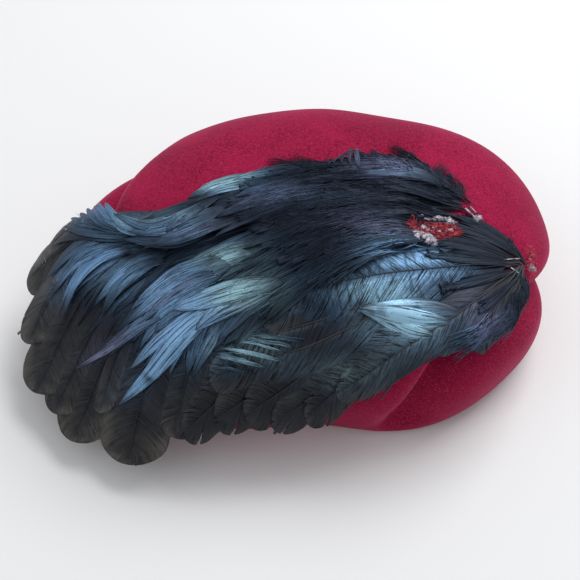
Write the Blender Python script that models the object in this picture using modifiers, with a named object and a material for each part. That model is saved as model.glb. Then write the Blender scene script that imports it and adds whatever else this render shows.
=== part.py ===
"""Fascinator: a draped cap of crimson velour felt, dressed with three sprays of black coque feathers.

Metres, +Z up. The cap's turned-under rim lies on the plane Z = 0. X runs along the cap's long side: the
quills of the feathers are at +X, and their tips droop past the cap at -X. The front of the cap is at -Y.
"""

import math

import bpy
import numpy as np

# The felt cap
CAP_HALF_LENGTH = 0.120
CAP_HALF_DEPTH = 0.088
CAP_HEIGHT = 0.084
FELT_WALL = 0.002
RIM_LAND = 0.012
FOLD_DEPTH = 0.013
FOLD_TIGHT_SIDE = 0.006
FOLD_SOFT_SIDE = 0.015
FOLD_FADE_HEIGHT = 0.015

# The feather sprays
LOCK_WIDTH = 0.030
LOCK_EDGE = 0.0009
LOCK_CAMBER = 0.0006
BACKING_THICKNESS = 0.0014
SEAT_GAP = 0.0005
SPRAY_GAP = 0.0009
FUSE_DEPTH = 0.0011
QUILL_SHARE = 0.35
LOCK_FLAT_SHARE = 0.4

# Mesh density
CAP_SPOKES = 60
CAP_RINGS = 17
LOCK_SECTIONS = 13
BACKING_SPOKES = 20
BACKING_RINGS = 4
FOLD_STEPS = 90
PILE_CELL = 0.003
PROBES_ACROSS = 13
PROBES_ALONG = 4
SLOPE_STEP = 0.002

# Reach of the cap from its crown point, at even steps of azimuth from +X, as a share of the plain ellipse.
OUTLINE_REACH = (
    *(0.975, 0.985, 0.905, 0.910, 0.905, 0.925),
    *(1.040, 1.140, 1.160, 1.040, 1.140, 1.065),
)

# Profile of the cap from crown to rim, as shares of the reach and of the cap's height.
CAP_PROFILE = (
    # reach, height
    (0.000, 1.000),
    (0.300, 0.992),
    (0.580, 0.945),
    (0.800, 0.835),
    (0.940, 0.660),
    (1.000, 0.430),
    (0.985, 0.220),
    (0.945, 0.070),
    (0.900, 0.000),
)

# Profile that the feathers lie along: the cap's own over the crown, then a slope that droops clear of its
# wall.
DRAPE_PROFILE = (
    # reach, height
    (0.000, 1.000),
    (0.300, 0.992),
    (0.580, 0.948),
    (0.800, 0.860),
    (0.940, 0.740),
    (1.050, 0.560),
    (1.180, 0.330),
    (1.300, 0.170),
    (1.420, 0.100),
    (1.600, 0.070),
)

# Each fold is a line pressed into the felt: azimuth in degrees, place along the profile, share of the
# depth.
FOLDS = {
    "right_front": (
        # azimuth, place, share
        (18, 0.80, 0.0),
        (10, 0.72, 0.9),
        (-2, 0.63, 1.0),
        (-17, 0.54, 1.0),
        (-34, 0.45, 1.0),
        (-49, 0.46, 1.0),
        (-60, 0.57, 1.0),
        (-67, 0.74, 0.7),
        (-70, 0.92, 0.0),
    ),
    "left_back": (
        (132, 0.66, 0.0),
        (143, 0.54, 0.6),
        (154, 0.46, 0.9),
        (167, 0.42, 1.0),
        (181, 0.41, 1.0),
        (195, 0.43, 1.0),
        (207, 0.51, 1.0),
        (217, 0.64, 0.7),
        (223, 0.80, 0.0),
    ),
}

# The locks of each spray in the order that they are laid. Places are in plan, as shares of the cap's half
# length and half depth, and the width is a share of LOCK_WIDTH.
SPRAYS = {
    "tail_spray": {
        "backing": (-0.30, -0.42, 0.24, 0.36),
        "form": "round_tipped",
        "locks": (
            # root_x, root_y, bend_x, bend_y, tip_x, tip_y, width
            (-0.12, -0.58, -0.36, -0.80, -0.47, -1.20, 0.90),
            (-0.20, -0.54, -0.56, -0.72, -0.71, -1.32, 1.10),
            (-0.26, -0.46, -0.72, -0.60, -0.88, -1.18, 0.95),
            (-0.30, -0.40, -0.84, -0.44, -1.01, -1.14, 1.00),
            (-0.32, -0.34, -0.94, -0.32, -1.10, -0.92, 1.00),
            (-0.34, -0.32, -0.98, -0.20, -1.13, -0.68, 0.95),
            (-0.36, -0.30, -0.92, -0.14, -1.11, -0.38, 0.90),
            (-0.36, -0.32, -0.74, -0.28, -1.00, -0.14, 0.80),
        ),
    },
    "hackle_spray": {
        "backing": (0.48, -0.12, 0.12, 0.12),
        "form": "lance_tipped",
        "locks": (
            (0.50, -0.16, 0.06, -0.26, -0.42, -0.98, 0.85),
            (0.50, -0.15, 0.00, -0.22, -0.60, -1.02, 0.85),
            (0.50, -0.14, -0.12, -0.18, -0.76, -0.98, 0.90),
            (0.50, -0.13, -0.25, -0.16, -0.88, -0.80, 0.90),
            (0.50, -0.12, -0.32, -0.12, -0.94, -0.54, 0.90),
            (0.50, -0.12, -0.20, -0.10, -0.84, -0.34, 0.80),
            (0.52, -0.10, 0.10, -0.01, -0.52, -0.18, 0.75),
            (0.54, -0.07, 0.36, 0.08, -0.08, -0.01, 0.70),
        ),
    },
    "coque_spray": {
        "backing": (0.67, -0.48, 0.12, 0.14),
        "form": "round_tipped",
        "locks": (
            (0.68, -0.52, 0.32, -0.92, -0.40, -1.06, 1.05),
            (0.68, -0.52, 0.40, -0.88, -0.08, -1.05, 0.95),
            (0.70, -0.52, 0.50, -0.82, 0.18, -0.94, 0.80),
            (0.70, -0.52, 0.70, -0.70, 0.52, -0.84, 0.75),
            (0.68, -0.50, 0.30, -0.66, -0.26, -0.94, 1.05),
            (0.70, -0.50, 0.40, -0.68, 0.16, -0.82, 0.85),
            (0.70, -0.48, 0.34, -0.50, -0.12, -0.72, 1.00),
        ),
    },
}

# Outline of one lock from quill to tip: place along it, share of its width.
LOCK_FORMS = {
    "lance_tipped": ((0.00, 0.30), (0.20, 0.72), (0.50, 1.00), (0.75, 0.86), (0.92, 0.45), (1.00, 0.12)),
    "round_tipped": ((0.00, 0.30), (0.20, 0.72), (0.50, 1.00), (0.84, 1.00), (0.95, 0.76), (1.00, 0.44)),
}

COLOURS = {
    "crimson_felt": ((0.33, 0.012, 0.035), 0.90),
    "black_feather": ((0.010, 0.014, 0.022), 0.42),
}


def through(rows, places):
    """Smooth curve through evenly spaced rows, read at places from 0 to 1 (Catmull-Rom)."""
    rows = np.asarray(rows, float)
    last = len(rows) - 1
    scaled = np.clip(places, 0.0, 1.0) * last
    start = np.minimum(scaled.astype(int), last - 1)
    u = (scaled - start)[:, None]
    before, here = rows[np.maximum(start - 1, 0)], rows[start]
    there, after = rows[start + 1], rows[np.minimum(start + 2, last)]
    return 0.5 * (
        2.0 * here
        + (there - before) * u
        + (2.0 * before - 5.0 * here + 4.0 * there - after) * u**2
        + (3.0 * here - before - 3.0 * there + after) * u**3
    )


def smooth_step(x):
    x = np.clip(x, 0.0, 1.0)
    return x * x * (3.0 - 2.0 * x)


def reach(azimuth):
    """Distance in plan from the crown point to the cap's widest line, at each azimuth in radians."""
    count = len(OUTLINE_REACH)
    closed = np.array(OUTLINE_REACH[-2:] + OUTLINE_REACH + OUTLINE_REACH[:3])[:, None]
    turn = (azimuth % math.tau) / math.tau * count
    share = through(closed, (turn + 2.0) / (len(closed) - 1))[:, 0]
    ellipse = 1.0 / np.hypot(np.cos(azimuth) / CAP_HALF_LENGTH, np.sin(azimuth) / CAP_HALF_DEPTH)
    return share * ellipse


def cap_points(azimuth, place):
    """Points of the smooth cap, before any fold, at an azimuth and a place from crown (0) to rim (1)."""
    profile = through(CAP_PROFILE, place)
    radius = profile[:, 0] * reach(azimuth)
    height = profile[:, 1] * CAP_HEIGHT
    return np.stack([radius * np.cos(azimuth), radius * np.sin(azimuth), height], axis=1)


def grid_normals(grid):
    """Outward unit normals of a grid of rings by spokes, closed round the spokes."""
    round_way = np.roll(grid, -1, axis=1) - np.roll(grid, 1, axis=1)
    down_way = np.gradient(grid, axis=0)
    normals = np.cross(down_way, round_way)
    length = np.linalg.norm(normals, axis=2, keepdims=True)
    return normals / np.maximum(length, 1e-9)


def fold_press(points, normals):
    """How far the folds press each point of the felt inwards.

    It falls off with the distance to the fold's line, quickly on the crown's side and softly below it.
    """
    press = np.zeros(len(points))
    for rows in FOLDS.values():
        line = through(rows, np.linspace(0.0, 1.0, FOLD_STEPS))
        path = cap_points(np.radians(line[:, 0]), line[:, 1])
        share = np.clip(line[:, 2], 0.0, 1.0)
        clockwise = rows[-1][0] < rows[0][0]
        nearest = np.full(len(points), np.inf)
        side = np.zeros(len(points))
        here = np.zeros(len(points))
        for start, step, first, second in zip(path[:-1], np.diff(path, axis=0), share[:-1], share[1:]):
            away = points - start
            along = np.clip(away @ step / (step @ step), 0.0, 1.0)
            distance = np.linalg.norm(away - along[:, None] * step, axis=1)
            closer = distance < nearest
            nearest[closer] = distance[closer]
            here[closer] = (first + (second - first) * along)[closer]
            leftward = (np.cross(step, away) * normals).sum(axis=1) > 0.0
            side[closer] = leftward[closer]
        crown_side = (side > 0.5) != clockwise
        spread = np.where(crown_side, FOLD_TIGHT_SIDE, FOLD_SOFT_SIDE)
        press += FOLD_DEPTH * here * np.exp(-((nearest / spread) ** 1.6))
    return press


def cap_grid(rings, spokes):
    """Rings of the felt's outer face below the crown point, with the folds pressed in."""
    azimuth = np.linspace(0.0, math.tau, spokes, endpoint=False)
    place = np.linspace(0.0, 1.0, rings + 1)[1:]
    turn, along = np.meshgrid(azimuth, place)
    grid = cap_points(turn.ravel(), along.ravel()).reshape(rings, spokes, 3)
    normals = grid_normals(grid)
    press = fold_press(grid.reshape(-1, 3), normals.reshape(-1, 3)).reshape(rings, spokes, 1)
    fade = smooth_step(grid[:, :, 2:] / FOLD_FADE_HEIGHT)
    return grid - normals * press * fade


def ring_faces(rings, spokes, first):
    """Quads between neighbouring closed rings of points, numbered from first."""
    faces = []
    for ring in range(rings - 1):
        for spoke in range(spokes):
            after = (spoke + 1) % spokes
            near, far = first + ring * spokes, first + (ring + 1) * spokes
            faces.append((near + spoke, far + spoke, far + after, near + after))
    return faces


def add_object(name, points, faces, colour, collection):
    mesh = bpy.data.meshes.new(name)
    mesh.from_pydata([tuple(map(float, point)) for point in points], [], faces)
    mesh.validate()
    mesh.shade_smooth()
    mesh.materials.append(felt_or_feather(colour))
    made = bpy.data.objects.new(name, mesh)
    collection.objects.link(made)
    return made


def felt_or_feather(name):
    material = bpy.data.materials.get(name)
    if material:
        return material
    colour, roughness = COLOURS[name]
    material = bpy.data.materials.new(name)
    material.use_nodes = True
    shader = material.node_tree.nodes["Principled BSDF"]
    shader.inputs["Base Color"].default_value = (*colour, 1.0)
    shader.inputs["Roughness"].default_value = roughness
    shader.inputs["Metallic"].default_value = 0.0
    return material


def make_cap(collection):
    """The felt: an open skin from the crown to the turned-under rim, then given its wall inwards."""
    grid = cap_grid(CAP_RINGS, CAP_SPOKES)
    foot = grid[-1]
    inward = foot[:, :2] / np.linalg.norm(foot[:, :2], axis=1, keepdims=True)
    land = foot.copy()
    land[:, :2] -= inward * RIM_LAND
    points = np.concatenate([[[0.0, 0.0, CAP_HEIGHT]], grid.reshape(-1, 3), land])
    faces = [(0, 1 + spoke, 1 + (spoke + 1) % CAP_SPOKES) for spoke in range(CAP_SPOKES)]
    faces += ring_faces(CAP_RINGS + 1, CAP_SPOKES, 1)
    cap = add_object("felt_cap", points, faces, "crimson_felt", collection)
    wall = cap.modifiers.new("felt wall", "SOLIDIFY")
    wall.thickness = FELT_WALL
    wall.offset = -1.0
    wall.use_even_offset = True
    return cap


def drape_height(x, y):
    """Height of the slope that the feathers lie along, over each place in plan."""
    share = np.hypot(x, y) / reach(np.arctan2(y, x))
    dense = through(DRAPE_PROFILE, np.linspace(0.0, 1.0, 200))
    return np.interp(share, dense[:, 0], dense[:, 1]) * CAP_HEIGHT


def on_drape(plan, lift):
    """Points a lift above the drape, measured square to it, over places in plan."""
    x, y = plan[:, 0], plan[:, 1]
    rise_x = drape_height(x + SLOPE_STEP, y) - drape_height(x - SLOPE_STEP, y)
    rise_y = drape_height(x, y + SLOPE_STEP) - drape_height(x, y - SLOPE_STEP)
    slope_x, slope_y = rise_x / (2.0 * SLOPE_STEP), rise_y / (2.0 * SLOPE_STEP)
    normals = np.stack([-slope_x, -slope_y, np.ones_like(x)], axis=1)
    normals /= np.linalg.norm(normals, axis=1, keepdims=True)
    return np.stack([x, y, drape_height(x, y)], axis=1) + normals * np.asarray(lift)[:, None]


class Pile:
    """How high the feathers already laid stand above the drape, on a grid of small cells in plan.

    The sprays already finished are kept apart from the spray being laid, because a lock keeps clear of the
    first and fuses into the second.
    """

    def __init__(self):
        self.corner = -2.0 * np.array([CAP_HALF_LENGTH, CAP_HALF_DEPTH])
        self.finished = np.zeros(np.ceil(-2.0 * self.corner / PILE_CELL).astype(int))
        self.laying = self.finished.copy()

    def cells(self, plan):
        index = np.round((plan - self.corner) / PILE_CELL).astype(int)
        return np.clip(index, 1, np.array(self.finished.shape) - 2).T

    def highest(self, grid, plan):
        """The highest top in the nine cells round each place."""
        i, j = self.cells(plan)
        return np.max([grid[i + di, j + dj] for di in (-1, 0, 1) for dj in (-1, 0, 1)], axis=0)

    def clear_of_finished(self, plan):
        under = self.highest(self.finished, plan)
        return under + np.where(under > 0.0, SPRAY_GAP, SEAT_GAP)

    def fused_to_own(self, plan):
        return self.highest(self.laying, plan) - FUSE_DEPTH

    def lay(self, plan, top):
        i, j = self.cells(plan)
        np.maximum.at(self.laying, (i, j), top)

    def finish_spray(self):
        self.finished = np.maximum(self.finished, self.laying)
        self.laying = np.zeros_like(self.finished)


def across(centre, tangent, half_width, share):
    """Places in plan that lie a share of the half width to the left of a path."""
    left = np.stack([-tangent[:, 1], tangent[:, 0]], axis=1)
    return centre + left * (half_width * share)[:, None]


def lock_path(row, form):
    """Centre line, tangent and half width of a lock in plan: one bend from its quill to its tip."""
    size = np.array([CAP_HALF_LENGTH, CAP_HALF_DEPTH])
    root, bend, tip = np.array(row[0:2]) * size, np.array(row[2:4]) * size, np.array(row[4:6]) * size
    s = np.linspace(0.0, 1.0, LOCK_SECTIONS)[:, None]
    centre = (1 - s) ** 2 * root + 2 * s * (1 - s) * bend + s**2 * tip
    tangent = 2 * (1 - s) * (bend - root) + 2 * s * (tip - bend)
    tangent /= np.linalg.norm(tangent, axis=1, keepdims=True)
    outline = np.array(LOCK_FORMS[form])
    half_width = np.interp(s[:, 0], outline[:, 0], outline[:, 1]) * row[6] * LOCK_WIDTH / 2.0
    return centre, tangent, half_width


def carried(needed, sections):
    """A stiff lock can't dip between the things it rests on, so it takes the highest need nearby.

    The mean of those highest needs is never less than the need itself.
    """
    wide = np.pad(needed, 2 * sections, mode="edge")
    span, last = 2 * sections + 1, len(needed) + 2 * sections
    highest = np.max([wide[k : k + last] for k in range(span)], axis=0)
    return np.mean([highest[k : k + len(needed)] for k in range(span)], axis=0)


def lay_lock(name, row, form, pile, collection):
    """One lock: eight-sided sections along its path, thin at both edges and raised along its middle."""
    centre, tangent, half_width = lock_path(row, form)
    probes = [across(centre, tangent, half_width, at) for at in np.linspace(-1.0, 1.0, PROBES_ACROSS)]
    clear = np.max([pile.clear_of_finished(plan) for plan in probes], axis=0)
    fused = np.max([pile.fused_to_own(plan) for plan in probes], axis=0)
    free = smooth_step(np.linspace(0.0, 1.0, LOCK_SECTIONS) / QUILL_SHARE)
    low = carried(np.maximum(clear, fused * free), 1)
    high, ridge = low + LOCK_EDGE, low + LOCK_EDGE + LOCK_CAMBER
    corners = (
        (-1.0, low),
        (-LOCK_FLAT_SHARE, low),
        (LOCK_FLAT_SHARE, low),
        (1.0, low),
        (1.0, high),
        (LOCK_FLAT_SHARE, ridge),
        (-LOCK_FLAT_SHARE, ridge),
        (-1.0, high),
    )
    sides = [on_drape(across(centre, tangent, half_width, share), lift) for share, lift in corners]
    points = np.stack(sides, axis=1).reshape(-1, 3)
    faces = ring_faces(LOCK_SECTIONS, len(corners), 0)
    quill_end, tip_end = range(len(corners)), range(len(points) - len(corners), len(points))
    faces += [tuple(quill_end), tuple(reversed(tip_end))]
    lock = add_object(name, points, faces, "black_feather", collection)
    top = np.maximum(ridge[:-1], ridge[1:])
    for plan in probes:
        for on in np.linspace(0.0, 1.0, PROBES_ALONG + 1):
            pile.lay(plan[:-1] * (1.0 - on) + plan[1:] * on, top)
    return lock


def lay_backing(name, row, pile, collection):
    """The cloth that a spray's quills are glued to: an oval patch that lies on what is under it."""
    size = np.array([CAP_HALF_LENGTH, CAP_HALF_DEPTH])
    centre, radii = np.array(row[0:2]) * size, np.array(row[2:4]) * size
    turn = np.linspace(0.0, math.tau, BACKING_SPOKES, endpoint=False)
    shares = np.linspace(0.0, 1.0, BACKING_RINGS + 1)[1:]
    spokes = np.stack([np.cos(turn), np.sin(turn)], axis=1) * radii
    plan = (centre + shares[:, None, None] * spokes[None]).reshape(-1, 2)
    plan = np.concatenate([[centre], plan])
    low = np.full(len(plan), pile.clear_of_finished(plan).max())
    bottom, top = on_drape(plan, low), on_drape(plan, low + BACKING_THICKNESS)
    count = len(plan)
    fan = [(0, 1 + k, 1 + (k + 1) % BACKING_SPOKES) for k in range(BACKING_SPOKES)]
    fan += ring_faces(BACKING_RINGS, BACKING_SPOKES, 1)
    rim = count - BACKING_SPOKES
    walls = []
    for k in range(BACKING_SPOKES):
        after = (k + 1) % BACKING_SPOKES
        walls.append((rim + k, rim + after, count + rim + after, count + rim + k))
    faces = [tuple(reversed(face)) for face in fan]
    faces += [tuple(index + count for index in face) for face in fan]
    backing = add_object(name, np.concatenate([bottom, top]), faces + walls, "black_feather", collection)
    pile.lay(plan, low + BACKING_THICKNESS)
    return backing


def make_spray(name, spray, pile, parts, helpers):
    """A spray: its backing, with every lock laid on it in order and fused to it."""
    backing = lay_backing(name, spray["backing"], pile, parts)
    locks = bpy.data.collections.new(name + "_locks")
    helpers.children.link(locks)
    for number, row in enumerate(spray["locks"]):
        lock = lay_lock(f"{name}_{number}", row, spray["form"], pile, locks)
        lock.hide_render = True
        lock.display_type = "WIRE"
    fuse = backing.modifiers.new("locks", "BOOLEAN")
    fuse.operation = "UNION"
    fuse.operand_type = "COLLECTION"
    fuse.collection = locks
    pile.finish_spray()
    return backing


def stand_on_origin(objects):
    """Parents the pieces to an empty, placed so that the origin lies under the middle of them all."""
    bpy.context.view_layer.update()
    graph = bpy.context.evaluated_depsgraph_get()
    corners = np.array([corner[:] for piece in objects for corner in piece.evaluated_get(graph).bound_box])
    low, high = corners.min(axis=0), corners.max(axis=0)
    stand = bpy.data.objects.new("stand", None)
    bpy.context.scene.collection.objects.link(stand)
    stand.location = (-(low[0] + high[0]) / 2.0, -(low[1] + high[1]) / 2.0, -low[2])
    return stand


def main():
    for old in list(bpy.data.objects):
        bpy.data.objects.remove(old)
    parts = bpy.data.collections.new("fascinator")
    helpers = bpy.data.collections.new("locks")
    for collection in (parts, helpers):
        bpy.context.scene.collection.children.link(collection)
    make_cap(parts)
    pile = Pile()
    for name, spray in SPRAYS.items():
        make_spray(name, spray, pile, parts, helpers)
    stand = stand_on_origin(parts.objects)
    for piece in (*parts.objects, *helpers.all_objects):
        piece.parent = stand


main()
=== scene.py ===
"""Fascinator: the looks of a draped cap of crimson velour felt dressed with black coque feathers.

Metres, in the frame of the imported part: the cap stands on Z = 0, its long side runs along X with the quills
at +X, and its front, which the feathers cover, is at -Y.
"""

import math

import bpy
import numpy as np
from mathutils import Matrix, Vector


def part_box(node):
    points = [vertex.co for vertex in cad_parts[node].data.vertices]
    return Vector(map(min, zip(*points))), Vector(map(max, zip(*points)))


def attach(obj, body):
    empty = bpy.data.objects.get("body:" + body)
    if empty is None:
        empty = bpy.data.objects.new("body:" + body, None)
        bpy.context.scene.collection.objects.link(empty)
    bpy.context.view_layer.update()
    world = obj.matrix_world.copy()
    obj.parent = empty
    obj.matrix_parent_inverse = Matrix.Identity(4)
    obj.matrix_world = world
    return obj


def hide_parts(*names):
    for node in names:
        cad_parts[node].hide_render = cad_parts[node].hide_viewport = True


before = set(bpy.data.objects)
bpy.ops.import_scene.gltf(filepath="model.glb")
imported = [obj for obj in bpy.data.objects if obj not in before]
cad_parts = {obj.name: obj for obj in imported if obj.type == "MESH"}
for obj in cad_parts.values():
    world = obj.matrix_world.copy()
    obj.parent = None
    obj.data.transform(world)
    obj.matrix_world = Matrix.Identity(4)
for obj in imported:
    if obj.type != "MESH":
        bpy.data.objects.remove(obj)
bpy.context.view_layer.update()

scene = bpy.context.scene

# Camera
# The photographer stood in front of the cap and looked down on it at 50 degrees from 0.7 m away. The crown's
# point is found from the cap's box, and the camera is aimed a little past it so that the cap sits low left.
CROWN_FROM_CAP_MIDDLE = (0.0062, 0.0077)
CAMERA_ELEVATION = math.radians(50.0)
CAMERA_DISTANCE = 0.700
AIM_HEIGHT = 0.038
MM_PER_PIXEL = 0.505
PHOTO_SIDE = 580
CROWN_PIXEL = (318.0, 244.0)
SENSOR_WIDTH = 36.0

cap_low, cap_high = (np.array(corner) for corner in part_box("felt_cap"))
crown = (cap_low[:2] + cap_high[:2]) / 2.0 + np.array(CROWN_FROM_CAP_MIDDLE)
back = Vector((0.0, -math.cos(CAMERA_ELEVATION), math.sin(CAMERA_ELEVATION)))
right = Vector((1.0, 0.0, 0.0))
above = back.cross(right)
target = Vector((crown[0], crown[1], AIM_HEIGHT))
eye = target + CAMERA_DISTANCE * back
pixel = MM_PER_PIXEL / 1000.0
aim = target - right * (CROWN_PIXEL[0] - PHOTO_SIDE / 2.0) * pixel
aim += above * (CROWN_PIXEL[1] - PHOTO_SIDE / 2.0) * pixel
camera_data = bpy.data.cameras.new("camera")
camera_data.sensor_width = SENSOR_WIDTH
camera_data.lens = CAMERA_DISTANCE / (pixel * PHOTO_SIDE) * SENSOR_WIDTH
camera_data.clip_start = 0.01
camera = bpy.data.objects.new("camera", camera_data)
camera.location = eye
camera.rotation_euler = (eye - aim).to_track_quat("Z", "Y").to_euler()
scene.collection.objects.link(camera)
scene.camera = camera

# Felt cap
# One piece of wool velour, steamed over a block into an oval dome, then pinched by hand into two folds and
# turned under at the rim. The felt is 2 mm thick and hollow below.
CAP_HALF_LENGTH = 0.120
CAP_HALF_DEPTH = 0.088
CAP_HEIGHT = 0.084
FELT_WALL = 0.002
RIM_LAND = 0.012
FOLD_DEPTH = 0.015
FOLD_TIGHT_SIDE = 0.005
FOLD_SOFT_SIDE = 0.015
FOLD_FADE_HEIGHT = 0.015
FOLD_STEPS = 90
CAP_SPOKES = 288
CAP_RINGS = 96
LAND_RINGS = 4
HAND_WAVE = 0.0004

# Reach of the cap from its crown point, at even steps of azimuth from +X, as a share of the plain ellipse.
OUTLINE_REACH = (
    *(0.975, 0.985, 0.905, 0.910, 0.905, 0.925),
    *(1.040, 1.140, 1.160, 1.040, 1.140, 1.065),
)
CAP_PROFILE = (
    # reach, height
    (0.000, 1.000),
    (0.300, 0.992),
    (0.580, 0.945),
    (0.800, 0.835),
    (0.940, 0.660),
    (1.000, 0.430),
    (0.985, 0.220),
    (0.945, 0.070),
    (0.900, 0.000),
)
FOLDS = {
    "right_front": (
        # azimuth, place, share
        (18, 0.80, 0.0),
        (10, 0.72, 0.9),
        (-2, 0.63, 1.0),
        (-17, 0.54, 1.0),
        (-34, 0.45, 1.0),
        (-49, 0.46, 1.0),
        (-60, 0.57, 1.0),
        (-67, 0.74, 0.7),
        (-70, 0.92, 0.0),
    ),
    "left_back": (
        (132, 0.66, 0.0),
        (143, 0.54, 0.6),
        (154, 0.46, 0.9),
        (167, 0.42, 1.0),
        (181, 0.41, 1.0),
        (195, 0.43, 1.0),
        (207, 0.51, 1.0),
        (217, 0.64, 0.7),
        (223, 0.80, 0.0),
    ),
}


def through(rows, places):
    """Smooth curve through evenly spaced rows, read at places from 0 to 1.

    Between two rows it is the Catmull-Rom cubic of those two and their neighbours.
    """
    rows = np.asarray(rows, float)
    last = len(rows) - 1
    scaled = np.clip(places, 0.0, 1.0) * last
    start = np.minimum(scaled.astype(int), last - 1)
    u = (scaled - start)[..., None]
    before, here = rows[np.maximum(start - 1, 0)], rows[start]
    there, after = rows[start + 1], rows[np.minimum(start + 2, last)]
    bend = 2.0 * before - 5.0 * here + 4.0 * there - after
    twist = 3.0 * here - before - 3.0 * there + after
    return 0.5 * (2.0 * here + (there - before) * u + bend * u**2 + twist * u**3)


def smooth_step(x):
    x = np.clip(x, 0.0, 1.0)
    return x * x * (3.0 - 2.0 * x)


def reach(azimuth):
    """Distance in plan from the crown point to the cap's widest line: an ellipse's radius times a share."""
    closed = np.array(OUTLINE_REACH[-2:] + OUTLINE_REACH + OUTLINE_REACH[:3])[:, None]
    turn = (azimuth % math.tau) / math.tau * len(OUTLINE_REACH)
    share = through(closed, (turn + 2.0) / (len(closed) - 1))[..., 0]
    return share / np.hypot(np.cos(azimuth) / CAP_HALF_LENGTH, np.sin(azimuth) / CAP_HALF_DEPTH)


def cap_points(azimuth, place):
    """The smooth cap, before any fold: its profile, spread out to the reach at each azimuth."""
    profile = through(CAP_PROFILE, place)
    radius = profile[..., 0] * reach(azimuth)
    height = profile[..., 1] * CAP_HEIGHT
    return np.stack([radius * np.cos(azimuth), radius * np.sin(azimuth), height], axis=-1)


def unit(vectors):
    return vectors / np.maximum(np.linalg.norm(vectors, axis=-1, keepdims=True), 1e-12)


def ring_normals(grid):
    """Outward normals of a grid of rings by spokes: down the spoke crossed with round the ring."""
    round_way = np.roll(grid, -1, axis=1) - np.roll(grid, 1, axis=1)
    return unit(np.cross(np.gradient(grid, axis=0), round_way))


def fold_press(points, normals):
    """How far the folds press each point inwards: a bell of the distance to the fold's line.

    The bell is narrow on the crown's side of the line and wide below it.
    """
    press = np.zeros(len(points))
    for rows in FOLDS.values():
        line = through(rows, np.linspace(0.0, 1.0, FOLD_STEPS))
        path = cap_points(np.radians(line[:, 0]), line[:, 1])
        share = np.clip(line[:, 2], 0.0, 1.0)
        clockwise = rows[-1][0] < rows[0][0]
        nearest = np.full(len(points), np.inf)
        side = np.zeros(len(points), bool)
        here = np.zeros(len(points))
        for start, step, first, second in zip(path[:-1], np.diff(path, axis=0), share[:-1], share[1:]):
            away = points - start
            along = np.clip(away @ step / (step @ step), 0.0, 1.0)
            distance = np.linalg.norm(away - along[:, None] * step, axis=1)
            closer = distance < nearest
            nearest[closer] = distance[closer]
            here[closer] = (first + (second - first) * along)[closer]
            side[closer] = ((np.cross(step, away) * normals).sum(axis=1) > 0.0)[closer]
        spread = np.where(side != clockwise, FOLD_TIGHT_SIDE, FOLD_SOFT_SIDE)
        press += FOLD_DEPTH * here * np.exp(-((nearest / spread) ** 1.6))
    return press


def ring_faces(rings, spokes, first=0):
    """Quads between neighbouring closed rings of points, numbered from first."""
    ring, spoke = np.meshgrid(np.arange(rings - 1), np.arange(spokes), indexing="ij")
    after = (spoke + 1) % spokes
    near, far = first + ring * spokes, first + (ring + 1) * spokes
    return np.stack([near + spoke, far + spoke, far + after, near + after], axis=-1).reshape(-1, 4)


def surface(name, points, *face_blocks):
    """A smooth mesh object from arrays: points, and blocks of faces that each have one number of corners."""
    mesh = bpy.data.meshes.new(name)
    mesh.vertices.add(len(points))
    mesh.vertices.foreach_set("co", np.ascontiguousarray(points, np.float32).ravel())
    sizes = np.concatenate([np.full(len(block), block.shape[1]) for block in face_blocks])
    corners = np.concatenate([block.ravel() for block in face_blocks])
    mesh.loops.add(len(corners))
    mesh.loops.foreach_set("vertex_index", corners.astype(np.int32))
    mesh.polygons.add(len(sizes))
    mesh.polygons.foreach_set("loop_start", (np.cumsum(sizes) - sizes).astype(np.int32))
    mesh.update(calc_edges=True)
    mesh.validate()
    mesh.shade_smooth()
    piece = bpy.data.objects.new(name, mesh)
    scene.collection.objects.link(piece)
    return piece


azimuth, place = np.meshgrid(
    np.linspace(0.0, math.tau, CAP_SPOKES, endpoint=False),
    np.linspace(0.0, 1.0, CAP_RINGS + 1)[1:],
)
smooth_cap = cap_points(azimuth, place)
cap_normals = ring_normals(smooth_cap)
press = fold_press(smooth_cap.reshape(-1, 3), cap_normals.reshape(-1, 3)).reshape(CAP_RINGS, CAP_SPOKES)
wave = np.sin(3.0 * azimuth + 5.0 * place) * np.sin(9.0 * place - 2.0 * azimuth) + 0.5 * np.sin(7.0 * azimuth)
press = press + HAND_WAVE * wave
press *= smooth_step(smooth_cap[..., 2] / FOLD_FADE_HEIGHT)
cap_skin = smooth_cap - cap_normals * press[..., None]
foot = cap_skin[-1]
inward = np.zeros_like(foot)
inward[:, :2] = -unit(foot[:, :2])
land = foot + inward * (RIM_LAND * np.linspace(0.0, 1.0, LAND_RINGS + 1)[1:, None, None])
cap_points_all = np.concatenate([[[0.0, 0.0, CAP_HEIGHT]], cap_skin.reshape(-1, 3), land.reshape(-1, 3)])
cap_points_all[:, :2] += crown
first_ring = np.arange(CAP_SPOKES)
crown_fan = np.stack([np.zeros(CAP_SPOKES, int), 1 + first_ring, 1 + (first_ring + 1) % CAP_SPOKES], axis=1)
cap = surface("velour_cap", cap_points_all, crown_fan, ring_faces(CAP_RINGS + LAND_RINGS, CAP_SPOKES, 1))
cap_wall = cap.modifiers.new("felt wall", "SOLIDIFY")
cap_wall.thickness = FELT_WALL
cap_wall.offset = -1.0
cap_wall.use_even_offset = True

# The felt's finish: crimson wool with a brushed pile. The pile scatters light in fine flecks, lies lighter or
# darker in hand-sized clouds, and turns pink where it is seen edge-on.
FELT_DEEP = (0.150, 0.0040, 0.020, 1.0)
FELT_LIT = (0.345, 0.0100, 0.056, 1.0)
FELT_FLECK = (0.480, 0.055, 0.130, 1.0)
FELT_SHEEN = (1.0, 0.30, 0.50, 1.0)
CLOUD_SCALE = 30.0
BRUSHED_SCALE = 17.0
PILE_SCALE = 640.0
TUFT_SCALE = 1500.0


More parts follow.
